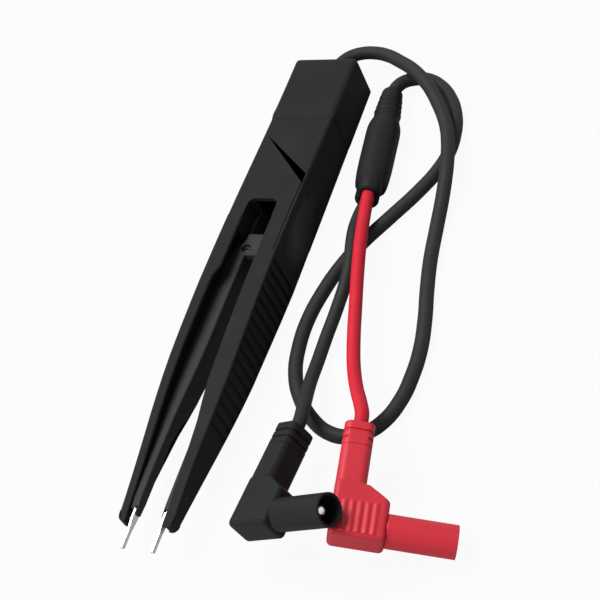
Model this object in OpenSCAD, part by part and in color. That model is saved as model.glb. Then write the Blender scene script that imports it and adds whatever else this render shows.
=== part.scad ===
/* [Tweezers] */
// Length over the metal tips
overall_len = 183.5; // [176:0.5:210]
// Width across the rear block
body_w = 22.4; // [21.6:0.1:26]
// Height of the rear end face
rear_h = 15.8; // [15:0.1:18]
// Height over the finger grips, the tallest place
hump_h = 18.6; // [18:0.1:22]
// Distance from the rear face to the tallest place
hump_run = 91.75; // [88:0.25:100]
// Length of the metal tips past the plastic
tip_reach = 7.5; // [6:0.1:10]
// Width across both arms at the plastic end
nose_w = 18.2; // [17.8:0.1:20]
// Height of the plastic end
nose_h = 3.6; // [3.4:0.1:5]
// Height of the plastic end's underside above the table
nose_rise = 9; // [8:0.1:11]
// Distance from the rear face to where the arms start to taper in plan
taper_run = 116.75; // [110:0.25:122]

/* [Walls] */
// Side wall thickness
side_wall = 2; // [1.6:0.1:2.2]
// Top and bottom wall thickness
skin = 1.6; // [1.2:0.1:1.8]
// Top and bottom wall thickness at the plastic end
nose_skin = 0.75; // [0.6:0.05:0.9]
// Clearance between a part and the wall that holds it
seat_gap = 0.15; // [0.1:0.01:0.2]

/* [Arms and slot] */
// Distance from the rear face to the arms' hinge line
root_len = 69.75; // [68:0.25:73]
// Distance of each hinge line in from the rear block's side
hinge_inset = 3; // [2.8:0.05:3.2]
// Gap between the arms and the body at the hinge line
root_slit = 0.4; // [0.35:0.01:0.6]
// Depth of the slot's round end behind the hinge line
slot_depth = 7.2; // [6:0.1:8]
// Corner radius of the slot's end
slot_r = 2.4; // [1:0.1:3]
// Half width of the window between the slot and the hollow block
window_x = 4; // [3:0.1:4.2]
// Distance from the middle to the wide wall's edge
wide_edge = 4.6; // [4.4:0.05:4.8]
// Extra distance of that edge at the plastic end
wide_edge_step = 1.3; // [1:0.05:1.4]
// Distance from the start of the taper to where that step starts
step_start = 12; // [8:0.5:16]
// Length over which the edge steps out
step_run = 18; // [12:0.5:24]
// Distance from the middle to the cut-back wall's edge at the root
root_edge = 5.7; // [5.6:0.05:6]
// Width of the cut-back wall's rim where the cut starts
rim_w = 4; // [3.6:0.05:4.2]
// Width of that rim at the plastic end
nose_rim_w = 2.4; // [2.1:0.05:2.6]
// Length of the solid block at the root of each arm
arm_block = 4.8; // [4:0.1:5.2]
// Length of the root that isn't cut back
root_plain = 19.8; // [19:0.1:24]
// Length over which the cut-back runs out to the rim
cut_run = 4; // [3:0.1:6]
// Corner radius of the nose in plan
nose_r = 1.6; // [0.8:0.1:2]

/* [Finger ribs] */
// Distance from the hinge line to the first rib groove
rib_start = 16.6; // [14:0.1:20]
// Spacing of the rib grooves
rib_pitch = 3.57; // [3:0.01:4.5]
// Number of rib grooves on each arm
rib_count = 17; // [8:1:18]
// Width of a rib groove
rib_w = 1.7; // [1:0.1:2]
// Depth of a rib groove
rib_depth = 0.6; // [0.3:0.05:0.8]
// Plain margin above and below the ribs
rib_margin = 0.9; // [0.6:0.1:2]

/* [Inserts and contacts] */
// Distance from the middle to the left insert's inner face
left_in = 3; // [2.8:0.05:3.4]
// Distance from the middle to the right insert's inner face
right_in = 3.9; // [3.7:0.05:4.1]
// Distance from the hinge line to the insert's rear end
insert_start = 3; // [2.6:0.1:3.6]
// Length of the insert's rear tab
tab_len = 8.5; // [8:0.1:10]
// Gap between a tab and the other arm's insert
tab_gap = 1.2; // [1:0.05:1.6]
// Length over which an insert runs out to the side wall
flare_run = 8; // [6:0.5:10]
// Depth of an insert's face below its arm's open side
insert_sunk = 5.8; // [5.4:0.1:6]
// Height of the inserts at the plastic end
insert_nose_h = 4; // [3.6:0.1:4.4]
// Distance from the start of the taper to where an insert slims down
slim_start = 15; // [12:0.5:20]
// Length over which an insert slims down
slim_run = 18; // [14:0.5:22]
// Thickness of the insert's web over the contact strip
insert_cover = 0.35; // [0.25:0.05:0.4]
// Distance from the start of the taper back to where the web closes in
cover_start = 5; // [2:0.5:8]
// Length over which the web closes in
cover_run = 34; // [28:1:40]
// Slant of the insert's front end
insert_slant = 2; // [0:0.1:3]
// Distance from the insert's nose to the plastic end
insert_short = 3.05; // [2.5:0.05:5]
// Distance from the middle to each contact strip
contact_x = 5.05; // [5:0.01:5.1]
// Thickness of a contact strip
contact_t = 0.8; // [0.6:0.05:0.9]
// Height of a contact strip
contact_h = 2.8; // [2:0.1:2.9]
// Height of a strip's tip
contact_tip_h = 1.6; // [1:0.1:1.8]
// Length over which a strip narrows to its tip
contact_narrow = 4; // [2:0.1:5]
// Distance from the hinge line to a contact strip's rear end
contact_start = 15; // [14:0.5:18]
// Clearance of a strip in its slot
contact_gap = 0.1; // [0.05:0.01:0.15]
// Diameter of the terminal screw's shank
term_d = 1.4; // [1:0.1:1.6]
// Diameter of the terminal screw's head
term_head_d = 2.2; // [2:0.1:2.4]
// Diameter of the recess around that head
term_recess_d = 3; // [2.8:0.1:3.2]
// Depth of the head's top in its recess
term_sunk = 0.6; // [0.3:0.1:0.8]
// Height of the terminal screw's head
term_head_h = 0.9; // [0.6:0.1:1.1]
// Length of the terminal screw's shank
term_len = 1.7; // [1.4:0.1:1.8]
// Distance from the middle to the terminal screw
term_x = 3.3; // [3:0.05:3.5]
// Distance from the insert's rear end to the terminal screw
term_run = 5.9; // [4:0.1:6.5]
// Length of the wire soldered along a strip
solder_len = 8; // [6:0.5:10]
// Height of a wire's channel past the wire, above and below
channel_gap = 0.15; // [0.1:0.01:0.2]

/* [Rear cap and cord grip] */
// Length of the rear cap
cap_len = 27.45; // [24:0.05:30]
// How far the cap stands proud of the body
cap_proud = 0.25; // [0.15:0.01:0.4]
// Thickness of the cap's end wall
cap_end = 2.4; // [1.6:0.1:3]
// Length of the cap's spigot inside the body
spigot_len = 4; // [3:0.1:5]
// Wall thickness of the spigot
spigot_wall = 1.2; // [0.8:0.1:1.4]
// Outer diameter of the bush in the end wall
bush_d = 6.4; // [6:0.1:7]
// Diameter of the bush's flanges
bush_flange_d = 8.6; // [8:0.1:9.4]
// Thickness of the bush's inner flange
bush_flange_t = 1.5; // [1:0.1:2]
// Length of the bush's outer lip
bush_lip = 1; // [0.8:0.1:1]
// Clearance of the cord in the bush and clamp
cord_gap = 0.05; // [0.03:0.01:0.1]
// Length of the clamp along the cord
clamp_len = 6; // [5:0.1:8]
// Width of the clamp
clamp_w = 15; // [14:0.1:16]
// Thickness of the clamp bar
clamp_t = 2.2; // [1.8:0.1:2.6]
// Distance from the cap seam to the clamp
clamp_run = 8.3; // [7:0.1:10]
// Spacing of the clamp screws
clamp_screw_span = 10.4; // [10:0.1:11]
// Diameter of a clamp screw
clamp_screw_d = 2.2; // [1.8:0.1:2.4]
// Length of a clamp screw's shank
clamp_screw_len = 7; // [6:0.1:8]
// Diameter of a clamp screw's head
clamp_head_d = 3.8; // [3.4:0.1:4]
// Height of a clamp screw's head
clamp_head_h = 1.4; // [1:0.1:1.6]

/* [Cords] */
// Diameter of the main cord
cord_d = 4.5; // [4.3:0.05:4.7]
// Diameter of the red and black leads
lead_d = 4.1; // [3.9:0.05:4.3]
// Diameter of an insulated wire inside the body
wire_d = 1.4; // [1:0.1:1.5]
// Length of straight wire before a bend
wire_bend = 1; // [0.8:0.1:1.4]
// Length of the cord's jacket inside the cap seam
jacket_in = 16; // [15:0.1:18]

/* [Cord splitter] */
// Length of the splitter with its boot
splitter_len = 45.3; // [45.1:0.1:45.5]
// Diameter of the splitter's main barrel
splitter_d = 11.2; // [10.6:0.1:11.4]
// Length of the splitter's boot on the cord side
boot_len = 13.5; // [11:0.1:15]
// Diameter of the boot at the cord
boot_d = 6.9; // [6.2:0.1:7.4]
// Diameter of the boot at the barrel
boot_root_d = 8.8; // [8:0.1:9.4]
// Length of the boot's plain start
boot_plain = 4.5; // [3:0.1:6]
// Number of grooves around the boot
boot_rings = 4; // [2:1:5]
// Depth of those grooves
boot_groove = 0.5; // [0.3:0.05:0.7]
// Width of those grooves
boot_groove_w = 0.8; // [0.6:0.05:1.1]
// Length over which the barrel grows from the boot
barrel_start = 3; // [2:0.1:5]
// Step in diameter between the boot and the barrel
barrel_step = 0.5; // [0.2:0.1:1]
// Diameter of the barrel at its outlet end
barrel_end_d = 10; // [9:0.1:10.6]
// Length of the barrel's taper to that end
barrel_taper = 7.5; // [5:0.5:10]
// Diameter of each outlet lobe
lobe_d = 7.8; // [7:0.1:8]
// Length of the outlet lobes past the barrel
lobe_len = 3.8; // [3:0.1:5]
// Length of the lobes' roots inside the barrel
lobe_root = 7; // [5:0.5:9]
// Diameter of a crimp ferrule inside the splitter
crimp_d = 2.2; // [1.8:0.1:2.4]
// Length of a crimp ferrule
crimp_len = 8; // [6:0.1:9]
// Distance from the boot to the crimp ferrules
crimp_run = 6; // [5:0.1:8]
// Spacing of the two crimp ferrules
crimp_span = 3.2; // [3:0.1:3.6]

/* [Banana plugs] */
// Diameter of the plug pin
pin_d = 4; // [3.9:0.05:4.1]
// Outer diameter of the sheath around the pin
sheath_d = 9.2; // [9:0.1:9.6]
// Bore of the sheath
sheath_bore_d = 7.8; // [7.6:0.05:8]
// Distance from the lead's axis frame to the sheath's rim
sheath_reach = 28; // [26:0.1:28.2]
// Distance from the lead entry frame to the pin's axis
pin_drop = 28; // [27:0.1:28.4]
// Distance from the pin's axis to the housing's flat end
foot_drop = 5; // [4.8:0.1:5.4]
// Distance from the lead's frame to the housing's sheath face
foot_front = 9.3; // [9:0.1:10]
// Thickness of the housing
housing_t = 9.2; // [9:0.1:9.6]
// Width of the housing's stem
stem_w = 8.4; // [8:0.1:8.8]
// Sideways offset of the stem
stem_shift = 1.8; // [1.5:0.1:2]
// Corner radius of the stem and the collar
stem_r = 2.2; // [1.6:0.1:2.8]
// Corner radius of the foot
foot_r = 1.5; // [1:0.1:2]
// How far the foot's shoulder stands above the sheath
shoulder_rise = 1.9; // [1.5:0.1:2.4]
// Height of the shoulder's slope
shoulder_slope = 4; // [3:0.1:5]
// How far the slope starts out from the stem
shoulder_out = 0.8; // [0.4:0.1:1.2]
// Length of the housing's boot that shows
collar_len = 7.1; // [6.8:0.1:7.2]
// Length of the collar above the plug's frame
collar_rise = 1.6; // [1.5:0.05:1.7]
// Depth of the grooves in the collar
collar_groove = 0.6; // [0.3:0.05:0.8]
// Width of the grooves in the collar
collar_groove_w = 0.7; // [0.4:0.05:1]
// Diameter of the collar's root inside the housing
collar_root_d = 5.8; // [5.4:0.1:6.2]
// Length of the collar's root inside the housing
collar_root_len = 6; // [4:0.1:8]
// Length of the sheath's root inside the housing
sheath_root_len = 5; // [4:0.1:6]
// Diameter of the sheath's root inside the housing
sheath_root_d = 7.6; // [7:0.1:7.8]
// Thickness of the sheath's floor that holds the pin
sheath_floor = 6; // [5.6:0.1:7]
// Distance from the pin's tip back to the sheath's rim
pin_inset = 2.2; // [0.5:0.1:3]
// Length of the pin behind the sheath's root
pin_tail = 6.8; // [6.5:0.1:7.2]
// Diameter of the pin's root in the sheath's floor and the housing
pin_root_d = 4.8; // [4.5:0.1:5]
// Diameter of the hollow around that length
pin_hole_d = 6; // [5.6:0.1:6.4]
// Diameter of the pin's core under its spring
pin_core_d = 3; // [2.6:0.1:3.2]
// Length of the spring on the pin
spring_len = 10; // [8:0.1:11]
// Distance from the pin's tip to its spring
spring_run = 4; // [3:0.1:5]
// Width of each slit in the spring
spring_slit = 0.7; // [0.4:0.1:1]
// Number of slits in the spring
spring_slits = 4; // [3:1:6]
// Length of the spring's closed ends
spring_end = 1.5; // [1:0.1:2]
// Diameter of the stripped copper core of a lead
core_d = 1.6; // [1.2:0.1:2]
// Depth of that core in the pin
core_in = 0.4; // [0.2:0.1:0.6]
// Length of the lead's jacket inside the plug
lead_in = 21; // [19:0.1:22]
// Number of grip ribs on the housing's front
grip_ribs = 5; // [3:1:7]
// Height of a grip rib
grip_rib_h = 0.35; // [0.2:0.05:0.6]
// Width of a grip rib
grip_rib_w = 1; // [0.7:0.1:1.4]
// Spacing of the grip ribs
grip_pitch = 2.1; // [1.8:0.05:2.5]
// Distance of the grip ribs from the foot's end
grip_margin = 1; // [0.6:0.1:1.6]
// How far the grip ribs run past the sheath
grip_over = 0.5; // [0:0.1:1]

/* [Hidden] */
$fn = 48;

plastic = [0.11, 0.115, 0.115];
plastic_soft = [0.15, 0.155, 0.155];
rubber = [0.07, 0.07, 0.07];
red = [0.8, 0.12, 0.16];
metal = [0.75, 0.75, 0.75];
nickel = [0.8, 0.8, 0.78];
copper = [0.75, 0.45, 0.3];

// Lengthwise places, measured along Y with the rear face at the back
rear_y = overall_len / 2;
hinge_x = body_w / 2 - hinge_inset;
seam_y = rear_y - cap_len;
hinge_y = rear_y - root_len;
slot_y = hinge_y + slot_depth;
arm_y = hinge_y - root_slit;
tip_y = -overall_len / 2;
nose_y = tip_y + tip_reach;
hump_y = rear_y - hump_run;
taper_y = rear_y - taper_run;
recess_y = hinge_y - root_plain;
insert_y = hinge_y - insert_start;
block_y = arm_y - arm_block;
// Height where the contacts meet, and the cord's height in the rear face
mid_z = nose_rise + nose_h / 2;
cord_z = rear_h / 2;
// Height that parts the two tabs
tab_z = hump_h / 2;
// Stations along the arms and along the rear block
arm_steps = 16;
body_steps = 6;
// Small overlap that keeps cuts clean
eps = 0.01;
// How far a cutter runs past what it cuts
past = 30;

// Routes of the cords, each from the object's end to its far end
MAIN_ROUTE = [[0, 92.75, 7.9], [0.2, 95.3, 7.9], [1.4, 98, 7.8], [3.6, 100.4, 7.6], [7, 101.8, 7.5],
    [12, 101.8, 7.6], [17.6, 100, 8], [23.3, 96.6, 8.5], [29, 92.7, 8.8], [33.8, 88.4, 8.6],
    [37.8, 84, 8.1], [41.2, 79.2, 7.6], [44.2, 74.5, 7.3], [46.8, 69.5, 7.1], [49.2, 63, 7.1],
    [50.9, 56.4, 6.9], [51.9, 49.5, 5.9], [52.4, 41.5, 4.1], [53, 31.5, 2.8], [54.2, 19.6, 2.3],
    [56.3, 8.3, 2.3], [58.7, -2.5, 2.3], [60.3, -13, 2.3], [60.4, -22, 2.3], [59.3, -30.5, 2.3],
    [56.2, -38, 2.3], [51.8, -42.3, 2.3], [46.5, -44.2, 2.3], [40.5, -43.5, 2.3],
    [34.4, -40, 2.3], [28.2, -33.6, 2.3], [23.4, -25, 2.3], [21.2, -15, 2.3], [20.9, -5, 2.3],
    [22.4, 5, 2.3], [25, 14.5, 2.3], [29.2, 24, 2.3], [36.2, 35.5, 2.3], [42.6, 46, 2.3],
    [46.6, 54.5, 2.3], [48.4, 62, 2.3], [48.3, 70, 2.3], [46.5, 78, 2.4], [42.8, 85.2, 2.6],
    [37.6, 90.8, 2.8], [31.9, 93.4, 3.3], [28.2, 92.9, 3.9], [25.4, 91, 4.8], [23.9, 88.1, 5.6],
    [23.2, 84.8, 6]];
RED_ROUTE = [[29, 39.9, 8], [30.2, 33, 8.4], [32.6, 21.5, 9.2], [35.6, 9, 9.4], [39, -4, 9.4],
    [42.4, -16, 9.8], [46, -26, 10.8], [50, -34, 12.4], [53.6, -39.8, 14],
    [55.5, -43.4, 14.9], [56.4, -48, 15.1]];
BLACK_ROUTE = [[27, 39.6, 4.3], [26.4, 34, 4.5], [27.2, 27.5, 5.8], [28.7, 21.5, 6.9],
    [30, 15.5, 6.8], [30.7, 8, 5.7], [30.2, -2, 4.1], [29.7, -12, 3.4], [30.2, -21, 4.1],
    [31.4, -29.6, 6.2], [33.6, -37, 9.2], [35.2, -42, 11.3], [36, -46, 12.2], [36, -49.2, 12.5]];
// Sides of a cord's tube
cord_sides = 8;
// Where the splitter lies, and the turn of its axis
splitter_at = [23.2, 84.8, 6];
splitter_turn = 6.34;
// Where the outlets leave the splitter: sideways and up from its axis
red_outlet = [0.8, 2];
black_outlet = [-1.2, -1.7];
// Where the plugs lie, and their turns about Z, X and Y
red_plug_at = [58.4, -49.8, 14.5];
red_plug_turn = [10, -1.4, 22.4];
black_plug_at = [37.6, -51.3, 13.4];
black_plug_turn = [-2.8, -5.6, -23.4];

// Smooth step from 0 to 1
function ease(t) = let(c = min(max(t, 0), 1)) (1 - cos(180 * c)) / 2;
function arm_part(y) = min(max((hump_y - y) / (hump_y - nose_y), 0), 1);
function top_z(y) = y > hump_y
    ? rear_h + (hump_h - rear_h) * ease((rear_y - y) / hump_run)
    : hump_h - (hump_h - nose_rise - nose_h) * pow(arm_part(y), 1.75);
function bottom_z(y) = nose_rise * (0.65 * arm_part(y) + 0.35 * pow(arm_part(y), 3));
function half_w(y) = body_w / 2
    - (body_w - nose_w) / 2 * ease((taper_y - y) / (taper_y - nose_y));
function skin_at(y) = skin - (skin - nose_skin) * arm_part(y);
function wide_at(y) = wide_edge + wide_edge_step * ease((taper_y - step_start - y) / step_run);
function rim_at(y) = half_w(y) - rim_w + (rim_w - nose_rim_w) * arm_part(y);
// The insert's inner face, and its top and bottom inside the walls
function cover_x() = contact_x - contact_t / 2 - contact_gap - insert_cover;
function insert_in(y, inner) = inner + (cover_x() - inner) * ease((taper_y + cover_start - y) / cover_run);
function slim(y) = ease((taper_y - slim_start - y) / slim_run);
function under_top(y) = top_z(y) - skin_at(y) - seat_gap;
function over_bottom(y) = bottom_z(y) + skin_at(y) + seat_gap;
function insert_top(y, up) = up ? min(under_top(y), hump_h - insert_sunk)
    : under_top(y) - max(under_top(y) - mid_z - insert_nose_h / 2, 0) * slim(y);
function insert_bottom(y, up) = up
    ? over_bottom(y) + max(mid_z - insert_nose_h / 2 - over_bottom(y), 0) * slim(y)
    : max(over_bottom(y), insert_sunk);
function span(y0, y1, n) = [for (i = [0:n]) y0 + (y1 - y0) * i / n];

// Solid between the top and bottom curves, inset by the wall and by a gap
module side_slab(y0, y1, n, walls, gap = 0) {
    ys = span(y0, y1, n);
    translate([-body_w, 0, 0]) rotate([90, 0, 90]) linear_extrude(2 * body_w)
        polygon(concat([for (y = ys) [y, top_z(y) - walls * skin_at(y) - gap]],
            [for (i = [n:-1:0]) [ys[i], bottom_z(ys[i]) + walls * skin_at(ys[i]) + gap]]));
}

// Solid between the outer sides in plan, inset by a distance
module plan_slab(y0, y1, n, inset) {
    ys = span(y0, y1, n);
    translate([0, 0, -past]) linear_extrude(3 * past)
        polygon(concat([for (y = ys) [half_w(y) - inset, y]],
            [for (i = [n:-1:0]) [inset - half_w(ys[i]), ys[i]]]));
}

// Box from the rear block's seam or root, with its own steps
module block_solid(y0, y1, inset, walls, gap = 0) {
    intersection() {
        side_slab(y0, y1, body_steps, walls, gap);
        plan_slab(y0, y1, 1, inset);
    }
}

module body_shell() color(plastic) {
    difference() {
        block_solid(hinge_y, seam_y, 0, 0);
        block_solid(slot_y + side_wall, seam_y + 1, side_wall, 1);
        block_solid(slot_y - slot_r, slot_y + side_wall + 1, body_w / 2 - window_x, 1);
        slot_end(root_edge, wide_edge, mid_z);
        mirror([1, 0, 0]) slot_end(root_edge, wide_edge, mid_z - past);
        for (s = [-1, 1]) translate([s * hinge_x, slot_y + side_wall + 1, mid_z]) rotate([90, 0, 0])
            cylinder(h = slot_depth + side_wall + 2, d = wire_d + 2 * seat_gap);
    }
    difference() {
        translate([-clamp_w / 2, clamp_y() - clamp_len / 2, skin - eps])
            cube([clamp_w, clamp_len, cord_z - skin]);
        translate([0, clamp_y() + clamp_len, cord_z]) rotate([90, 0, 0])
            cylinder(h = 2 * clamp_len, d = cord_d + 2 * cord_gap);
        clamp_holes(cord_z - clamp_screw_len + clamp_t);
    }
}

// The slot's round end, for the height above z
module slot_end(left, right, z) {
    translate([0, 0, z]) linear_extrude(past) union() {
        translate([-left, hinge_y - 1]) square([left + right, slot_depth + 1 - slot_r]);
        translate([-left + slot_r, hinge_y - 1]) square([left + right - 2 * slot_r, slot_depth + 1]);
        for (x = [-left + slot_r, right - slot_r]) translate([x, slot_y - slot_r]) circle(slot_r);
    }
}

function clamp_y() = seam_y - clamp_run;
module clamp_holes(z) {
    for (s = [-1, 1]) translate([s * clamp_screw_span / 2, clamp_y(), z])
        cylinder(h = past, d = clamp_screw_d + 2 * cord_gap);
}

module cable_clamp() color(plastic_soft) difference() {
    translate([-clamp_w / 2, clamp_y() - clamp_len / 2, cord_z + seat_gap])
        cube([clamp_w, clamp_len, cord_d / 2 + clamp_t]);
    translate([0, clamp_y() + clamp_len, cord_z]) rotate([90, 0, 0])
        cylinder(h = 2 * clamp_len, d = cord_d + 2 * cord_gap);
    clamp_holes(0);
}

module clamp_screws() color(metal) for (s = [-1, 1]) {
    top = cord_z + seat_gap + cord_d / 2 + clamp_t;
    translate([s * clamp_screw_span / 2, clamp_y(), top]) {
        translate([0, 0, -clamp_screw_len]) cylinder(h = clamp_screw_len, d = clamp_screw_d);
        difference() {
            cylinder(h = clamp_head_h, d = clamp_head_d);
            translate([-clamp_head_d, -clamp_head_h / 4, clamp_head_h / 2])
                cube([2 * clamp_head_d, clamp_head_h / 2, clamp_head_h]);
        }
    }
}

module rear_cap() color(plastic) difference() {
    union() {
        intersection() {
            side_slab(seam_y, rear_y, body_steps, 0, -cap_proud);
            plan_slab(seam_y, rear_y, 1, -cap_proud);
            translate([-body_w, 0, 0]) cube([2 * body_w, rear_y, 2 * hump_h]);
        }
        block_solid(seam_y - spigot_len, seam_y + 1, side_wall + seat_gap, 1, seat_gap);
    }
    block_solid(seam_y, rear_y - cap_end, side_wall, 1);
    block_solid(seam_y - spigot_len - 1, seam_y + eps, side_wall + seat_gap + spigot_wall, 1,
        seat_gap + spigot_wall);
    translate([0, rear_y + 1, cord_z]) rotate([90, 0, 0]) cylinder(h = cap_end + 2, d = bush_d);
}

module cord_bush() color(rubber) translate([0, rear_y, cord_z]) rotate([90, 0, 0]) difference() {
    union() {
        translate([0, 0, -bush_lip]) cylinder(h = bush_lip, d = bush_flange_d);
        translate([0, 0, -eps]) cylinder(h = cap_end + 2 * eps, d = bush_d);
        translate([0, 0, cap_end]) cylinder(h = bush_flange_t, d = bush_flange_d);
    }
    translate([0, 0, -bush_lip - 1]) cylinder(h = cap_end + bush_flange_t + past, d = cord_d + 2 * cord_gap);
}

// The cord's jacket from the bush's face to past the clamp
module inner_cord() color(rubber) translate([0, rear_y + bush_lip, cord_z]) rotate([90, 0, 0])
    cylinder(h = bush_lip + cap_len + jacket_in, d = cord_d);

// A round wire through a list of points
module wire_run(points) {
    for (i = [0:len(points) - 2]) {
        v = points[i + 1] - points[i];
        l = norm(v);
        translate(points[i]) rotate([0, acos(v[2] / l), atan2(v[1], v[0])])
            cylinder(h = l, d = wire_d, $fn = 24);
    }
    for (i = [1:1:len(points) - 2]) translate(points[i]) sphere(d = wire_d, $fn = 24);
}

module body_wire(s) color(s < 0 ? rubber : red) {
    x = 0.6 * wire_d;
    wire_run([[s * x, seam_y - jacket_in, cord_z], [s * x, seam_y - jacket_in - 2 * wire_bend, cord_z],
        [s * hinge_x, slot_y + side_wall + 3 * wire_bend, mid_z],
        [s * hinge_x, hinge_y + root_slit / 4, mid_z]]);
}
module left_wire() body_wire(-1);
module right_wire() body_wire(1);

function solder_x() = contact_x + contact_t / 2 + wire_d / 2;
module arm_wire(s) color(s < 0 ? rubber : red) {
    wire_run([[s * hinge_x, hinge_y - root_slit / 4, mid_z], [s * hinge_x, block_y - wire_bend, mid_z],
        [s * solder_x(), hinge_y - contact_start - wire_bend, mid_z],
        [s * solder_x(), hinge_y - contact_start - wire_bend - solder_len, mid_z]]);
}
module left_arm_wire() arm_wire(-1);
module right_arm_wire() arm_wire(1);

// Solid on the inner side of an edge, above z
module inner_cut(kind, z) {
    ys = span(nose_y - 1, arm_y + 1, arm_steps);
    rim_ys = span(nose_y - 1, recess_y - cut_run, arm_steps);
    edge = kind == "wide" ? [for (y = ys) [wide_at(y), y]]
        : concat([for (y = rim_ys) [rim_at(y), y]], [[root_edge, recess_y], [root_edge, arm_y + 1]]);
    translate([0, 0, z]) linear_extrude(past)
        polygon(concat([[-1, nose_y - 1]], edge, [[-1, arm_y + 1]]));
}

// What the nose's outer corner loses in plan
module nose_corner() translate([half_w(nose_y) - nose_r, nose_y - 1, 0]) linear_extrude(2 * hump_h)
    difference() {
        square([nose_r + 1, nose_r + 1]);
        translate([0, nose_r + 1]) circle(nose_r);
    }

// An arm on the +X side: its wide wall is on top, its cut-back wall below
module arm_half(wide_up) {
    difference() {
        intersection() {
            side_slab(nose_y, arm_y, arm_steps, 0);
            plan_slab(nose_y, arm_y, arm_steps, 0);
            translate([0, nose_y, 0]) cube([body_w, arm_y - nose_y, 2 * hump_h]);
        }
        intersection() {
            side_slab(nose_y - 1, block_y, arm_steps, 1);
            plan_slab(nose_y - 1, block_y, arm_steps, side_wall);
        }
        nose_corner();
        inner_cut(wide_up ? "wide" : "rim", mid_z);
        inner_cut(wide_up ? "rim" : "wide", mid_z - past);
        translate([hinge_x, arm_y + 1, mid_z]) rotate([90, 0, 0])
            cylinder(h = arm_block + 2, d = wire_d + 2 * seat_gap);
        rib_grooves();
    }
}

module rib_grooves() difference() {
    intersection() {
        side_slab(nose_y, arm_y, arm_steps, 0, rib_margin);
        union() for (i = [0:rib_count - 1])
            translate([half_w(hump_y) / 2, hinge_y - rib_start - i * rib_pitch - rib_w / 2, 0])
                cube([body_w, rib_w, 2 * hump_h]);
    }
    plan_slab(nose_y, arm_y, arm_steps, rib_depth);
}

module left_arm() color(plastic) mirror([1, 0, 0]) arm_half(false);
module right_arm() color(plastic) arm_half(true);

// An insert on the +X side: it holds the contact strip in a slot, and its tab reaches past the middle
module insert_half(inner, other, up) {
    end_y = nose_y + insert_short;
    ys = span(end_y, insert_y, arm_steps);
    outer = span(end_y + insert_slant, block_y - flare_run, arm_steps);
    root_x = wide_edge - seat_gap;
    reach = other - tab_gap;
    difference() {
        intersection() {
            translate([-body_w, 0, 0]) rotate([90, 0, 90]) linear_extrude(2 * body_w)
                polygon(concat([for (y = ys) [y, insert_top(y, up)]],
                    [for (i = [arm_steps:-1:0]) [ys[i], insert_bottom(ys[i], up)]]));
            union() {
                translate([0, 0, -past]) linear_extrude(3 * past)
                    polygon(concat([for (y = ys) [insert_in(y, inner), y]], [[root_x, insert_y],
                        [root_x, block_y - seat_gap]], [for (i = [arm_steps:-1:0])
                        [half_w(outer[i]) - side_wall - seat_gap, outer[i]]]));
                translate([-reach, insert_y - tab_len, up ? tab_z + seat_gap : tab_z - seat_gap - past])
                    cube([reach + inner + 1, tab_len, past]);
            }
        }
        translate([solder_x() - wire_d / 2 + contact_gap,
            hinge_y - contact_start - solder_len - 2 * wire_bend, mid_z - wire_d / 2 - channel_gap])
            cube([past, past, wire_d + 2 * channel_gap]);
        translate([contact_x - contact_t / 2 - contact_gap, tip_y, mid_z - contact_h / 2 - contact_gap])
            cube([contact_t + 2 * contact_gap, hinge_y - contact_start + contact_gap - tip_y,
                contact_h + 2 * contact_gap]);
        term_place(up) translate([0, 0, -term_len - contact_gap])
            cylinder(h = past, d = term_d + 2 * cord_gap);
        term_place(up) cylinder(h = past, d = term_recess_d);
    }
}

// The terminal screw's seat, its shank pointing into the insert
module term_place(up) {
    y = insert_y - term_run;
    down = term_sunk + term_head_h;
    translate([term_x, y, up ? insert_top(y, true) - down : insert_bottom(y, false) + down])
        rotate([up ? 0 : 180, 0, 0]) children();
}

module left_insert() color(plastic_soft) mirror([1, 0, 0]) insert_half(left_in, right_in, true);
module right_insert() color(plastic_soft) insert_half(right_in, left_in, false);

module terminal_screw(up) term_place(up) {
    translate([0, 0, -term_len]) cylinder(h = term_len + eps, d = term_d);
    difference() {
        cylinder(h = term_head_h, d = term_head_d);
        translate([-term_head_d, -term_head_h / 4, term_head_h / 2])
            cube([2 * term_head_d, term_head_h / 2, term_head_h]);
    }
}
module left_terminal_screw() color(metal) mirror([1, 0, 0]) terminal_screw(true);
module right_terminal_screw() color(metal) terminal_screw(false);

// A flat metal strip that narrows to its round tip
module contact_strip(s) color(nickel) translate([s * contact_x - contact_t / 2, 0, mid_z])
    rotate([90, 0, 90]) linear_extrude(contact_t) {
        low_y = nose_y - contact_narrow / 2;
        high_y = nose_y + contact_narrow / 2;
        polygon([[hinge_y - contact_start, -contact_h / 2], [high_y, -contact_h / 2],
            [low_y, -contact_tip_h / 2], [tip_y + contact_tip_h / 2, -contact_tip_h / 2],
            [tip_y + contact_tip_h / 2, contact_tip_h / 2], [low_y, contact_tip_h / 2],
            [high_y, contact_h / 2], [hinge_y - contact_start, contact_h / 2]]);
        translate([tip_y + contact_tip_h / 2, 0]) circle(contact_tip_h / 2);
    }
module left_contact() contact_strip(-1);
module right_contact() contact_strip(1);

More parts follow.
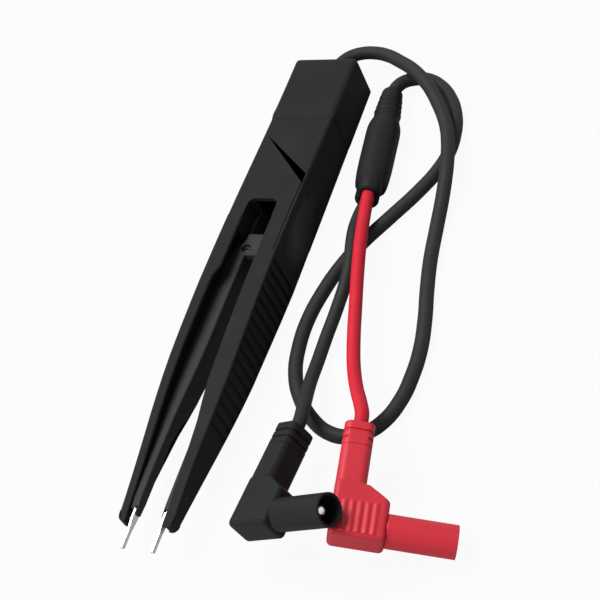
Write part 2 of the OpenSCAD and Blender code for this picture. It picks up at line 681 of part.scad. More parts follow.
// Tube swept along a route's own points
function unit(v) = v / norm(v);
function route_dir(p, i) = unit(p[min(i + 1, len(p) - 1)] - p[max(i - 1, 0)]);
module cord_tube(p, d) {
    n = cord_sides;
    rings = [for (i = [0:len(p) - 1]) let(t = route_dir(p, i), a = unit(cross(t, [0, 0, 1])), b = cross(a, t))
        for (k = [0:n - 1]) p[i] + d / 2 * (a * cos(360 * k / n) + b * sin(360 * k / n))];
    last = (len(p) - 1) * n;
    polyhedron(rings, concat([[for (k = [0:n - 1]) k]],
        [for (i = [0:len(p) - 2]) for (k = [0:n - 1])
            [i * n + k, (i + 1) * n + k, (i + 1) * n + (k + 1) % n, i * n + (k + 1) % n]],
        [[for (k = [n - 1:-1:0]) last + k]]));
}
module main_cord() color(rubber) cord_tube(MAIN_ROUTE, cord_d);
module red_lead() color(red) cord_tube(RED_ROUTE, lead_d);
module black_lead() color(rubber) cord_tube(BLACK_ROUTE, lead_d);

// The splitter's frame: its axis runs down -Y from the cord
module splitter_frame() translate(splitter_at) rotate([0, 0, splitter_turn]) children();
module along(y) translate([0, y, 0]) rotate([90, 0, 0]) children();

function boot_at(s) = boot_d + (boot_root_d - boot_d) * s / boot_len;
module splitter_boot() color(rubber) splitter_frame() along(0) difference() {
    cylinder(h = boot_len, d1 = boot_d, d2 = boot_root_d);
    for (i = [0:boot_rings - 1]) {
        s = boot_plain + i * (boot_len - boot_plain) / boot_rings;
        translate([0, 0, s]) difference() {
            cylinder(h = boot_groove_w, d = 2 * splitter_d);
            translate([0, 0, -1]) cylinder(h = boot_groove_w + 2, d = boot_at(s) - 2 * boot_groove);
        }
    }
}

module crimp_bars(d, more) for (s = [-1, 1]) translate([s * crimp_span / 2, 0, 0])
    along(more - boot_len - crimp_run) cylinder(h = crimp_len + 2 * more, d = d);

function barrel_len() = splitter_len - lobe_len - boot_len;
module splitter_body() color(plastic) splitter_frame() difference() {
    union() {
        along(-boot_len) cylinder(h = barrel_start, d1 = boot_root_d + barrel_step, d2 = splitter_d);
        along(-boot_len - barrel_start)
            cylinder(h = barrel_len() - barrel_start - barrel_taper, d = splitter_d);
        along(barrel_taper + lobe_len - splitter_len)
            cylinder(h = barrel_taper, d1 = splitter_d, d2 = barrel_end_d);
        for (o = [red_outlet, black_outlet]) translate([o[0], 0, o[1]])
            along(lobe_root + lobe_len - splitter_len) cylinder(h = lobe_root + lobe_len, d = lobe_d);
    }
    crimp_bars(crimp_d + 2 * cord_gap, cord_gap);
}

module splitter_crimps() color(copper) splitter_frame() crimp_bars(crimp_d, 0);

// A plug's frame: X along the sheath, Y towards the lead, Z out of the ribbed front
module plug_frame(at, turn) translate(at) rotate([0, 0, turn[0]]) rotate([turn[1], 0, 0])
    rotate([0, turn[2], 0]) children();
// Along the pin's axis, and down the lead's axis, inside a plug's frame
module pin_axis(x) translate([x, -pin_drop, 0]) rotate([0, 90, 0]) children();
module lead_axis(y) translate([-stem_shift, y, 0]) rotate([90, 0, 0]) children();

// Rectangle with round corners
module round_rect(w, h, r) {
    square([w - 2 * r, h], center = true);
    square([w, h - 2 * r], center = true);
    for (x = [-1, 1], y = [-1, 1]) translate([x * (w / 2 - r), y * (h / 2 - r)]) circle(r);
}

function collar_y() = collar_rise - collar_len;
module collar() lead_axis(collar_rise) difference() {
    union() {
        linear_extrude(collar_len) round_rect(stem_w, housing_t, stem_r);
        translate([0, 0, collar_len - eps]) cylinder(h = collar_root_len, d = collar_root_d);
    }
    for (i = [1, 2]) translate([0, 0, i * collar_len / 3]) linear_extrude(collar_groove_w) difference() {
        square([2 * stem_w, 2 * housing_t], center = true);
        round_rect(stem_w - 2 * collar_groove, housing_t - 2 * collar_groove, stem_r - collar_groove);
    }
    translate([0, 0, -1]) cylinder(h = collar_len + collar_root_len + 2, d = lead_d + 2 * cord_gap);
}

function foot_y() = -pin_drop - foot_drop;
function shoulder_y() = sheath_d / 2 + shoulder_rise - pin_drop;
function back_x() = -stem_w / 2 - stem_shift;
// A prism down the plug's Y from a height
module upright(x1, from_y, to_y, r) translate([(back_x() + x1) / 2, from_y, 0]) rotate([90, 0, 0])
    linear_extrude(from_y - to_y) round_rect(x1 - back_x(), housing_t, r);

module housing() {
    stem_x = stem_w / 2 - stem_shift;
    slope_y = shoulder_y() + shoulder_slope;
    mid_x = (foot_front + back_x()) / 2;
    root_x = foot_front - sheath_root_len;
    difference() {
        union() {
            upright(stem_x, collar_y(), slope_y - 1, stem_r);
            intersection() {
                upright(foot_front, slope_y, foot_y(), foot_r);
                translate([0, 0, -housing_t]) linear_extrude(2 * housing_t)
                    polygon([[2 * back_x(), foot_y() - 1], [foot_front + 1, foot_y() - 1],
                        [foot_front + 1, shoulder_y()], [foot_front, shoulder_y()],
                        [stem_x + shoulder_out, slope_y], [stem_x, slope_y + 1],
                        [2 * back_x(), slope_y + 1]]);
            }
            for (i = [0:grip_ribs - 1])
                translate([mid_x + (i - (grip_ribs - 1) / 2) * grip_pitch - grip_rib_w / 2,
                    foot_y() + grip_margin, housing_t / 2 - 1])
                    cube([grip_rib_w, foot_drop + sheath_d / 2 + grip_over - grip_margin, 1 + grip_rib_h]);
        }
        pin_axis(root_x - pin_tail - 1) cylinder(h = pin_tail + 2, d = pin_hole_d);
        pin_axis(root_x - seat_gap) cylinder(h = sheath_root_len + 1, d = sheath_root_d + 2 * cord_gap);
        lead_axis(collar_y() + 1)
            cylinder(h = collar_root_len + 1 + seat_gap, d = collar_root_d + 2 * cord_gap);
        lead_axis(collar_y()) cylinder(h = collar_y() + pin_drop, d = lead_d + 2 * cord_gap);
    }
}

module sheath() pin_axis(0) difference() {
    union() {
        translate([0, 0, foot_front]) cylinder(h = sheath_reach - foot_front, d = sheath_d);
        translate([0, 0, foot_front - sheath_root_len])
            cylinder(h = sheath_root_len + eps, d = sheath_root_d);
    }
    translate([0, 0, foot_front + sheath_floor - sheath_root_len])
        cylinder(h = sheath_reach, d = sheath_bore_d);
    cylinder(h = sheath_reach, d = pin_root_d + 2 * cord_gap);
}

function pin_tip() = sheath_reach - pin_inset;
function pin_back() = foot_front - sheath_root_len - pin_tail;
function spring_x() = pin_tip() - spring_run - spring_len;
module pin() pin_axis(0) {
    translate([0, 0, pin_back()]) cylinder(h = foot_front + sheath_floor - sheath_root_len - pin_back(),
        d = pin_root_d);
    translate([0, 0, foot_front]) cylinder(h = spring_x() - foot_front - cord_gap, d = pin_d);
    translate([0, 0, spring_x() - 1]) cylinder(h = spring_len + 2, d = pin_core_d);
    translate([0, 0, spring_x() + spring_len + cord_gap])
        cylinder(h = spring_run - pin_d / 2 - cord_gap, d = pin_d);
    translate([0, 0, pin_tip() - pin_d / 2]) sphere(d = pin_d);
}

module pin_spring() pin_axis(spring_x()) difference() {
    cylinder(h = spring_len, d = pin_d);
    translate([0, 0, -1]) cylinder(h = spring_len + 2, d = pin_core_d + 2 * cord_gap);
    for (i = [0:spring_slits - 1]) rotate([0, 0, (i + 0.5) * 360 / spring_slits])
        translate([0, -spring_slit / 2, spring_end]) cube([pin_d, spring_slit, spring_len - 2 * spring_end]);
}

module lead_end() lead_axis(collar_rise) cylinder(h = collar_rise + lead_in, d = lead_d);
module lead_core() lead_axis(-lead_in) cylinder(h = pin_drop - lead_in - pin_root_d / 2 + core_in,
    d = core_d);

module red_plug() plug_frame(red_plug_at, red_plug_turn) children();
module black_plug() plug_frame(black_plug_at, black_plug_turn) children();
module red_collar() color(red) red_plug() collar();
module red_housing() color(red) red_plug() housing();
module red_sheath() color(red) red_plug() sheath();
module red_pin() color(nickel) red_plug() pin();
module red_pin_spring() color(nickel) red_plug() pin_spring();
module red_lead_end() color(red) red_plug() lead_end();
module red_core() color(copper) red_plug() lead_core();
module black_collar() color(rubber) black_plug() collar();
module black_housing() color(plastic) black_plug() housing();
module black_sheath() color(plastic) black_plug() sheath();
module black_pin() color(nickel) black_plug() pin();
module black_pin_spring() color(nickel) black_plug() pin_spring();
module black_lead_end() color(rubber) black_plug() lead_end();
module black_core() color(copper) black_plug() lead_core();

body_shell();
rear_cap();
cord_bush();
cable_clamp();
clamp_screws();
inner_cord();
left_wire();
right_wire();
left_arm();
right_arm();
left_insert();
right_insert();
left_contact();
right_contact();
left_terminal_screw();
right_terminal_screw();
left_arm_wire();
right_arm_wire();
main_cord();
splitter_boot();
splitter_body();
splitter_crimps();
red_lead();
black_lead();
red_collar();
red_housing();
red_sheath();
red_pin();
red_pin_spring();
red_lead_end();
red_core();
black_collar();
black_housing();
black_sheath();
black_pin();
black_pin_spring();
black_lead_end();
black_core();
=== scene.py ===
import math
import bmesh
import bpy
from mathutils import Matrix, Vector


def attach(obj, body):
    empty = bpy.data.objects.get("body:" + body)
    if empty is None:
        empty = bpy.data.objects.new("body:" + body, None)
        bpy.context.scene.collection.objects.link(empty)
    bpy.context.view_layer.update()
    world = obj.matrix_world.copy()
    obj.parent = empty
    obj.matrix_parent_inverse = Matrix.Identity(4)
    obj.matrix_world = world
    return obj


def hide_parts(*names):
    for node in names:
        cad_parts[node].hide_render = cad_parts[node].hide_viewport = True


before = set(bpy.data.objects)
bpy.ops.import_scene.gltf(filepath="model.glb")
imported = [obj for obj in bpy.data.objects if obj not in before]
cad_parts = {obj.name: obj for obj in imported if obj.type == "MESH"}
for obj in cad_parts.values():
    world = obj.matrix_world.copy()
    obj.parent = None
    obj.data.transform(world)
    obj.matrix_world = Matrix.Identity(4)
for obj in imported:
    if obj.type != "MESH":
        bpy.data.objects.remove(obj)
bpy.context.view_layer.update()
MM = 0.001

# ---------------------------------------------------------------- camera
LENS_MM = 90
SENSOR_MM = 36
CAMERA_AT = Vector((228.55, -229.65, 344.64)) * MM
CAMERA_FORWARD = Vector((-0.458, 0.4979, -0.7364)).normalized()
CAMERA_UP = Vector((-0.0549, 0.811, 0.5825))


def make_camera():
    """The camera looks down on the tips from the front right."""
    data = bpy.data.cameras.new("camera")
    data.lens = LENS_MM
    data.sensor_width = SENSOR_MM
    data.clip_start = 0.01
    camera = bpy.data.objects.new("camera", data)
    right = CAMERA_FORWARD.cross(CAMERA_UP).normalized()
    up = right.cross(CAMERA_FORWARD)
    turn = Matrix((right, up, -CAMERA_FORWARD)).transposed()
    camera.matrix_world = Matrix.Translation(CAMERA_AT) @ turn.to_4x4()
    bpy.context.scene.collection.objects.link(camera)
    bpy.context.scene.camera = camera


make_camera()

# ---------------------------------------------------------------- shader maths


class Term:
    """A shader socket that takes part in sums: each operator adds a Math node."""

    def __init__(self, paint, socket):
        self.paint = paint
        self.socket = socket

    def _math(self, kind, first, second, clamp=False):
        return self.paint.node("ShaderNodeMath", {"operation": kind, "use_clamp": clamp},
                               {0: first, 1: second})

    def __add__(self, other):
        return self._math("ADD", self, other)

    def __mul__(self, other):
        return self._math("MULTIPLY", self, other)

    def __sub__(self, other):
        return self._math("SUBTRACT", self, other)

    def __rsub__(self, other):
        return self._math("SUBTRACT", other, self)

    __radd__ = __add__
    __rmul__ = __mul__

    def clamped(self):
        return self._math("ADD", self, 0.0, clamp=True)


class Paint:
    """A material under construction."""

    def __init__(self, name):
        self.material = bpy.data.materials.new(name)
        self.material.use_nodes = True
        self.tree = self.material.node_tree
        self.shader = self.tree.nodes["Principled BSDF"]

    def node(self, kind, settings=None, sockets=None, output=0):
        """One node: its settings are set first, then its sockets by name or number."""
        made = self.tree.nodes.new(kind)
        for key, value in (settings or {}).items():
            setattr(made, key, value)
        for key, value in (sockets or {}).items():
            self.feed(made.inputs[key], value)
        return Term(self, made.outputs[output])

    def feed(self, socket, value):
        if isinstance(value, Term):
            self.tree.links.new(value.socket, socket)
        else:
            socket.default_value = value

    def set(self, **values):
        for key, value in values.items():
            self.feed(self.shader.inputs[key.replace("_", " ")], value)

    def place(self):
        return self.node("ShaderNodeTexCoord", output=3)

    def noise(self, scale, detail=3.0, rough=0.5, at=None):
        vector = at or self.place()
        return self.node("ShaderNodeTexNoise", None,
                         {"Vector": vector, "Scale": scale, "Detail": detail, "Roughness": rough})

    def mix(self, factor, first, second):
        return self.node("ShaderNodeMix", {"data_type": "RGBA"}, {0: factor, 6: first, 7: second},
                         output=2)

    def bump(self, height, distance, strength=1.0):
        self.set(Normal=self.node("ShaderNodeBump", None,
                                  {"Strength": strength, "Distance": distance, "Height": height}))

    def ramp(self, factor, low, high):
        """0 below low, 1 above high."""
        return self.node("ShaderNodeMapRange", {"clamp": True},
                         {0: factor, 1: low, 2: high, 3: 0.0, 4: 1.0})


# How many marks of each kind lie along a metre
FLOW_MARKS = 70.0
RUB_MARKS = 260.0
DUST_MARKS = 150.0
JACKET_GRAIN = 2600.0
PLATE_SPOTS = 900.0
# Depths of the finest relief, in metres
JACKET_DEPTH = 0.00003
PLATE_DEPTH = 0.00002


def moulded(name, colour, light, roughness, grain, depth, level, sheen_patch=None):
    """Moulded plastic: fine spark-eroded grain, faint flow marks and patches that rubbing has left
    a little smoother.

    Sheen patch is (middle, half sizes, colour) in mm of one painted highlight: a patch of the
    colour made lighter where light falls on the surface."""
    p = Paint(name)
    fine = p.noise(grain, 4.0, 0.6)
    cloud = p.noise(FLOW_MARKS, 3.0)
    rub = p.ramp(p.noise(RUB_MARKS, 5.0, 0.7), 0.55, 0.8)
    surface = p.mix((cloud * 0.5 + fine * 0.25).clamped(), colour, light)
    # Painted highlight: one patch of the colour is made lighter where light falls on the side
    if sheen_patch:
        middle, half, sheen_colour = sheen_patch
        near = p.node("ShaderNodeMapping", None,
                      {"Vector": p.place(), "Scale": tuple(1 / (h * MM) for h in half),
                       "Location": tuple(-m / h for m, h in zip(middle, half))})
        patch = p.node("ShaderNodeTexGradient", {"gradient_type": "SPHERICAL"}, {"Vector": near},
                       output=1)
        surface = p.mix(p.ramp(patch + cloud * 0.2, 0.1, 0.75), surface, sheen_colour)
    p.set(Base_Color=surface)
    p.set(Roughness=roughness + cloud * 0.12 - rub * 0.08)
    p.set(Specular_IOR_Level=level)
    p.bump(fine + rub * 0.15, depth)
    return p.material


def jacket(name, colour, light, roughness):
    """A cord's jacket: soft, with faint extrusion lines along it and a little dust."""
    p = Paint(name)
    uv = p.node("ShaderNodeTexCoord", output=2)
    stretched = p.node("ShaderNodeMapping", None, {"Vector": uv, "Scale": (6.0, 40.0, 1.0)})
    lines = p.noise(3.0, 4.0, 0.6, at=stretched)
    fine = p.noise(JACKET_GRAIN, 3.0)
    dust = p.ramp(p.noise(DUST_MARKS, 4.0), 0.5, 0.8)
    p.set(Base_Color=p.mix((lines * 0.4 + dust * 0.35).clamped(), colour, light))
    p.set(Roughness=roughness + fine * 0.15)
    p.set(Specular_IOR_Level=0.15)
    p.bump(fine + lines * 0.5, JACKET_DEPTH)
    return p.material


def plated(name, colour, roughness, along):
    """Bare or plated metal with fine brush marks and small dull spots."""
    p = Paint(name)
    brushed = p.node("ShaderNodeMapping", None, {"Vector": p.place(), "Scale": along})
    marks = p.noise(1.0, 5.0, 0.7, at=brushed)
    spots = p.ramp(p.noise(PLATE_SPOTS, 2.0), 0.62, 0.75)
    dull = tuple(c * 0.82 for c in colour[:3]) + (1.0,)
    p.set(Base_Color=p.mix((marks * 0.6 + spots * 0.3).clamped(), colour, dull))
    p.set(Metallic=1.0)
    p.set(Roughness=roughness + marks * 0.16 + spots * 0.15)
    p.bump(marks, PLATE_DEPTH)
    return p.material


BLACK = (0.0165, 0.0178, 0.0174, 1.0)
BLACK_LIGHT = (0.024, 0.026, 0.0255, 1.0)
GREY = (0.032, 0.0345, 0.0345, 1.0)
GREY_LIGHT = (0.044, 0.047, 0.047, 1.0)
CORD_BLACK = (0.022, 0.0225, 0.022, 1.0)
CORD_LIGHT = (0.034, 0.0345, 0.034, 1.0)
PLUG_BLACK = (0.0115, 0.0122, 0.012, 1.0)
PLUG_LIGHT = (0.019, 0.02, 0.0198, 1.0)
RED = (0.62, 0.018, 0.036, 1.0)
RED_LIGHT = (0.7, 0.034, 0.055, 1.0)
NICKEL = (0.78, 0.77, 0.74, 1.0)
STEEL = (0.62, 0.61, 0.6, 1.0)
# Steel painted dark: painted shade of the recess that the terminal screws sit in
RECESS_SHADE_STEEL = (0.06, 0.06, 0.06, 1.0)
COPPER = (0.75, 0.4, 0.24, 1.0)

# Painted highlight on the block's and the arm's right side, a patch made lighter where light falls
# on it: middle, half sizes in mm, colour
SIDE_SHEEN_PATCH = ((11.2, 24.0, 8.5), (1.5, 15.0, 8.5), (0.075, 0.08, 0.078, 1.0))

shell_plastic = moulded("shell_plastic", BLACK, BLACK_LIGHT, roughness=0.5, grain=2600.0,
                        depth=0.00005, level=0.05, sheen_patch=SIDE_SHEEN_PATCH)
insert_plastic = moulded("insert_plastic", GREY, GREY_LIGHT, roughness=0.5, grain=3200.0,
                         depth=0.00003, level=0.12)
black_plug_plastic = moulded("black_plug_plastic", PLUG_BLACK, PLUG_LIGHT, roughness=0.42,
                             grain=2200.0, depth=0.00003, level=0.1)
red_plug_plastic = moulded("red_plug_plastic", RED, RED_LIGHT, roughness=0.36, grain=2200.0,
                           depth=0.00003, level=0.38)
black_jacket = jacket("black_jacket", CORD_BLACK, CORD_LIGHT, roughness=0.5)
red_jacket = jacket("red_jacket", RED, RED_LIGHT, roughness=0.45)
tip_metal = plated("tip_metal", NICKEL, roughness=0.24, along=(3000.0, 120.0, 3000.0))
pin_metal = plated("pin_metal", NICKEL, roughness=0.16, along=(900.0, 900.0, 900.0))
screw_metal = plated("screw_metal", STEEL, roughness=0.35, along=(1500.0, 1500.0, 1500.0))
# The terminal screws' steel carries painted shade for their recesses
terminal_metal = plated("terminal_metal", RECESS_SHADE_STEEL, roughness=0.3,
                        along=(1500.0, 1500.0, 1500.0))
bare_copper = plated("bare_copper", COPPER, roughness=0.35, along=(800.0, 800.0, 800.0))

# ---------------------------------------------------------------- cords
CORD_D = 4.5 * MM
LEAD_D = 4.1 * MM
MAIN_ROUTE = [(0, 92.75, 7.9), (0.2, 95.3, 7.9), (1.4, 98, 7.8), (3.6, 100.4, 7.6),
              (7, 101.8, 7.5), (12, 101.8, 7.6), (17.6, 100, 8), (23.3, 96.6, 8.5),
              (29, 92.7, 8.8), (33.8, 88.4, 8.6), (37.8, 84, 8.1), (41.2, 79.2, 7.6),
              (44.2, 74.5, 7.3), (46.8, 69.5, 7.1), (49.2, 63, 7.1), (50.9, 56.4, 6.9),
              (51.9, 49.5, 5.9), (52.4, 41.5, 4.1), (53, 31.5, 2.8), (54.2, 19.6, 2.3),
              (56.3, 8.3, 2.3), (58.7, -2.5, 2.3), (60.3, -13, 2.3), (60.4, -22, 2.3),
              (59.3, -30.5, 2.3), (56.2, -38, 2.3), (51.8, -42.3, 2.3), (46.5, -44.2, 2.3),
              (40.5, -43.5, 2.3), (34.4, -40, 2.3), (28.2, -33.6, 2.3), (23.4, -25, 2.3),
              (21.2, -15, 2.3), (20.9, -5, 2.3), (22.4, 5, 2.3), (25, 14.5, 2.3),
              (29.2, 24, 2.3), (36.2, 35.5, 2.3), (42.6, 46, 2.3), (46.6, 54.5, 2.3),
              (48.4, 62, 2.3), (48.3, 70, 2.3), (46.5, 78, 2.4), (42.8, 85.2, 2.6),
              (37.6, 90.8, 2.8), (31.9, 93.4, 3.3), (28.2, 92.9, 3.9), (25.4, 91, 4.8),
              (23.9, 88.1, 5.6), (23.2, 84.8, 6)]
RED_ROUTE = [(29, 39.9, 8), (30.2, 33, 8.4), (32.6, 21.5, 9.2), (35.6, 9, 9.4), (39, -4, 9.4),
             (42.4, -16, 9.8), (46, -26, 10.8), (50, -34, 12.4), (53.6, -39.8, 14),
             (55.5, -43.4, 14.9), (56.4, -48, 15.1)]
BLACK_ROUTE = [(27, 39.6, 4.3), (26.4, 34, 4.5), (27.2, 27.5, 5.8), (28.7, 21.5, 6.9),
               (30, 15.5, 6.8), (30.7, 8, 5.7), (30.2, -2, 4.1), (29.7, -12, 3.4),
               (30.2, -21, 4.1), (31.4, -29.6, 6.2), (33.6, -37, 9.2), (35.2, -42, 11.3),
               (36, -46, 12.2), (36, -49.2, 12.5)]


def make_cord(name, route, diameter, material):
    """One smooth open curve through the route's points."""
    data = bpy.data.curves.new(name, "CURVE")
    data.dimensions = "3D"
    data.bevel_depth = diameter / 2
    data.bevel_resolution = 7
    data.resolution_u = 10
    data.use_fill_caps = True
    spline = data.splines.new("BEZIER")
    spline.bezier_points.add(len(route) - 1)
    for point, place in zip(spline.bezier_points, route):
        point.co = Vector(place) * MM
        point.handle_left_type = "AUTO"
        point.handle_right_type = "AUTO"
    data.materials.append(material)
    cord = bpy.data.objects.new(name, data)
    bpy.context.scene.collection.objects.link(cord)
    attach(cord, "root")
    return cord


main_cord = make_cord("cord_main", MAIN_ROUTE, CORD_D, black_jacket)
red_lead = make_cord("lead_red", RED_ROUTE, LEAD_D, red_jacket)
black_lead = make_cord("lead_black", BLACK_ROUTE, LEAD_D, black_jacket)
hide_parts("main_cord")
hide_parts("red_lead")
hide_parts("black_lead")

# ---------------------------------------------------------------- mesh helpers
# Vertices closer than this are one: in a bmesh in mm, and in one in metres
SAME_MM = 1e-5
SAME_M = 2e-6
# A radius under this lies on the axis
ON_AXIS = 1e-6
# Faces that meet at less than this are one
FLAT_ANGLE = math.radians(0.3)
# How close to a plane a vertex or an edge's middle counts as in it, in mm
NEAR = 0.05
AT_END = 0.01


def finished(name, mesh, body, replaced=(), smooth=30):
    """An object at the origin that rides on a body and stands for CAD nodes."""
    piece = bpy.data.objects.new(name, mesh)
    bpy.context.scene.collection.objects.link(piece)
    mesh.shade_smooth()
    mesh.set_sharp_from_angle(angle=math.radians(smooth))
    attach(piece, body)
    if replaced:
        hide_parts(*replaced)
    return piece


def mesh_from(build, name, material):
    """A mesh from a finished bmesh in millimetres."""
    bmesh.ops.remove_doubles(build, verts=build.verts, dist=SAME_MM)
    bmesh.ops.recalc_face_normals(build, faces=build.faces)
    bmesh.ops.scale(build, vec=(MM, MM, MM), verts=build.verts)
    mesh = bpy.data.meshes.new(name)
    build.to_mesh(mesh)
    build.free()
    mesh.materials.append(material)
    return mesh


def revolved(profile, frame_matrix, steps=48):
    """A closed profile of (radius, distance) turned about the frame's Z axis, as a bmesh."""
    build = bmesh.new()
    rings = []
    for k in range(steps):
        turn = math.tau * k / steps
        across = Vector((math.cos(turn), math.sin(turn), 0))
        rings.append([build.verts.new(frame_matrix @ (r * across + Vector((0, 0, z))))
                      for r, z in profile])
    for k in range(steps):
        near, far = rings[k], rings[(k + 1) % steps]
        for i in range(len(profile)):
            j = (i + 1) % len(profile)
            corners = [near[i], near[j], far[j], far[i]]
            if profile[i][0] < ON_AXIS:
                corners.pop(3)
            elif profile[j][0] < ON_AXIS:
                corners.pop(2)
            if profile[i][0] > ON_AXIS or profile[j][0] > ON_AXIS:
                build.faces.new(corners)
    bmesh.ops.remove_doubles(build, verts=build.verts, dist=SAME_MM)
    return build


def box_build(boxes):
    """Boxes given by their corners in mm, as a bmesh in metres."""
    build = bmesh.new()
    for low, high in boxes:
        size = Vector(high) - Vector(low)
        middle = (Vector(high) + Vector(low)) / 2
        place = Matrix.Translation(middle * MM) @ Matrix.Diagonal((size * MM).to_4d())
        place[3][3] = 1.0
        bmesh.ops.create_cube(build, size=1.0, matrix=place)
    return build


def lofted(outlines):
    """A closed skin over rings of equal length, with flat ends, as a bmesh."""
    build = bmesh.new()
    rings = [[build.verts.new(point) for point in outline] for outline in outlines]
    count = len(rings[0])
    for near, far in zip(rings, rings[1:]):
        for k in range(count):
            build.faces.new((near[k], near[(k + 1) % count], far[(k + 1) % count], far[k]))
    build.faces.new(rings[0][::-1])
    build.faces.new(rings[-1])
    return build


def dish_build(middle, half):
    """A round-ended hollow's cutter: an ellipsoid given in mm, as a bmesh in metres."""
    build = bmesh.new()
    place = Matrix.Translation(Vector(middle) * MM) @ Matrix.Diagonal((Vector(half) * MM).to_4d())
    place[3][3] = 1.0
    bmesh.ops.create_uvsphere(build, u_segments=64, v_segments=48, radius=1.0, matrix=place)
    return build


def as_object(build, name):
    mesh = bpy.data.meshes.new(name)
    build.to_mesh(mesh)
    build.free()
    made = bpy.data.objects.new(name, mesh)
    bpy.context.scene.collection.objects.link(made)
    return made


def joined(build, more):
    """Adds another bmesh, which it frees."""
    part = bpy.data.meshes.new("part")
    more.to_mesh(part)
    more.free()
    build.from_mesh(part)
    bpy.data.meshes.remove(part)


def carved(build, cutters):
    """The bmesh with each cutter taken away."""
    work = as_object(build, "work")
    tools = [as_object(cutter, "cutter") for cutter in cutters]
    for tool in tools:
        cut = work.modifiers.new("cut", "BOOLEAN")
        cut.operation = "DIFFERENCE"
        cut.solver = "EXACT"
        cut.object = tool
    shape = evaluated(work)
    for made in tools + [work]:
        bpy.data.objects.remove(made)
    out = bmesh.new()
    out.from_mesh(shape)
    bpy.data.meshes.remove(shape)
    return out


def evaluated(piece):
    """The piece's mesh with its modifiers worked in."""
    graph = bpy.context.evaluated_depsgraph_get()
    return bpy.data.meshes.new_from_object(piece.evaluated_get(graph))


# A rounding takes up to this share of the next edge
ROOM_SHARE = 0.42
# Two edges that meet under the first fold back; over the second they run on
FOLD_ANGLE = math.radians(20)
STRAIGHT_ANGLE = math.radians(160)
# Edges sharper than this are rounded; those shorter than so many mm by a share of the width
SHARP_ANGLE = math.radians(25)
LONG_EDGE = 3.2
SHORT_SHARE = 0.4


def room(edge):
    """How wide an edge's rounding can be, in metres, before it meets the next one."""
    most = 1.0
    for vert in edge.verts:
        along = edge.other_vert(vert).co - vert.co
        for face in edge.link_faces:
            for other in vert.link_edges:
                if other is edge or face not in other.link_faces:
                    continue
                away = other.other_vert(vert).co - vert.co
                corner = along.angle(away)
                if corner < FOLD_ANGLE:
                    shorter = min(along.length, away.length)
                    most = min(most, ROOM_SHARE * shorter * math.tan(corner / 2))
                elif corner < STRAIGHT_ANGLE:
                    most = min(most, ROOM_SHARE * away.length)
    return most


def softened(node, name, body, material, width, rules=(), local=None, segments=3,
             grow=None, cutters=(), shape=None):
    """A copy of a rigid CAD piece with its edges rounded by the width in mm, short ones by less.

    A rule (low, high, width) sets the width of the edges whose middle lies in a box of the local
    frame. Grow (from, to) moves the end face at one Y to another. Shape changes the bmesh before
    the cutters are taken away from it."""
    build = bmesh.new()
    build.from_mesh(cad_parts[node].data)
    bmesh.ops.remove_doubles(build, verts=build.verts, dist=SAME_M)
    bmesh.ops.dissolve_limit(build, angle_limit=FLAT_ANGLE, verts=build.verts, edges=build.edges)
    if grow:
        for vert in build.verts:
            if abs(vert.co.y / MM - grow[0]) < NEAR:
                vert.co.y = grow[1] * MM
    if shape:
        shape(build)
    if cutters:
        build = carved(build, cutters)
        bmesh.ops.remove_doubles(build, verts=build.verts, dist=SAME_M)
    to_local = (local or Matrix.Identity(4)).inverted()
    widest = max([width] + [rule[2] for rule in rules])
    weights = build.edges.layers.float.new("bevel_weight_edge")
    build.edges.ensure_lookup_table()
    for edge in build.edges:
        if len(edge.link_faces) != 2 or edge.calc_face_angle(0) < SHARP_ANGLE:
            continue
        middle = to_local @ ((edge.verts[0].co + edge.verts[1].co) / 2 / MM)
        wanted = width if edge.calc_length() > LONG_EDGE * MM else SHORT_SHARE * width
        if grow and abs(middle.y - grow[1]) < AT_END:
            wanted = 0.0
        for low, high, ruled in rules:
            if all(a <= m <= b for a, m, b in zip(low, middle, high)):
                wanted = ruled
        edge[weights] = min(wanted, room(edge) / MM) / widest
    mesh = bpy.data.meshes.new(name)
    build.to_mesh(mesh)
    build.free()
    mesh.materials.clear()
    mesh.materials.append(material)
    for polygon in mesh.polygons:
        polygon.material_index = 0
    piece = finished(name, mesh, body, (node,), smooth=35)
    bevel = piece.modifiers.new("round", "BEVEL")
    bevel.limit_method = "WEIGHT"
    bevel.width = widest * MM
    bevel.segments = segments
    bevel.use_clamp_overlap = False
    level = piece.modifiers.new("level", "WEIGHTED_NORMAL")
    level.keep_sharp = True
    return piece


# Edges around a foot's end are sharper than this
RIM_ANGLE = math.radians(40)


def remoulded(node, name, body, material, local, voxel, passes, filled=(), foot=None):
    """A copy of a moulded CAD piece with every edge and groove rounded, as it leaves the tool.

    Sizes are in mm of the local frame. Filled lists boxes that close a groove. Foot is (y, width):
    the edges around the end at that y get that rounding first."""
    build = bmesh.new()
    build.from_mesh(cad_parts[node].data)
    bmesh.ops.remove_doubles(build, verts=build.verts, dist=SAME_M)
    metric = Matrix.Scale(MM, 4) @ local @ Matrix.Scale(1 / MM, 4)
    build.transform(metric.inverted())
    if foot:
        end, width = foot
        bmesh.ops.dissolve_limit(build, angle_limit=FLAT_ANGLE, verts=build.verts,
                                 edges=build.edges)
        rim = [edge for edge in build.edges if edge.calc_face_angle(0) > RIM_ANGLE
               and all(abs(vert.co.y / MM - end) < AT_END for vert in edge.verts)]
        bmesh.ops.bevel(build, geom=rim, offset=width * MM, segments=4, profile=0.5,
                        affect="EDGES", clamp_overlap=False)
    if filled:
        joined(build, box_build(filled))
    work = as_object(build, "work")
    skin = work.modifiers.new("skin", "REMESH")
    skin.mode = "VOXEL"
    skin.voxel_size = voxel * MM
    soft = work.modifiers.new("soft", "SMOOTH")
    soft.factor = 0.5
    soft.iterations = passes
    mesh = evaluated(work)
    bpy.data.objects.remove(work)
    mesh.transform(metric)
    mesh.materials.clear()
    mesh.materials.append(material)
    return finished(name, mesh, body, (node,), smooth=60)


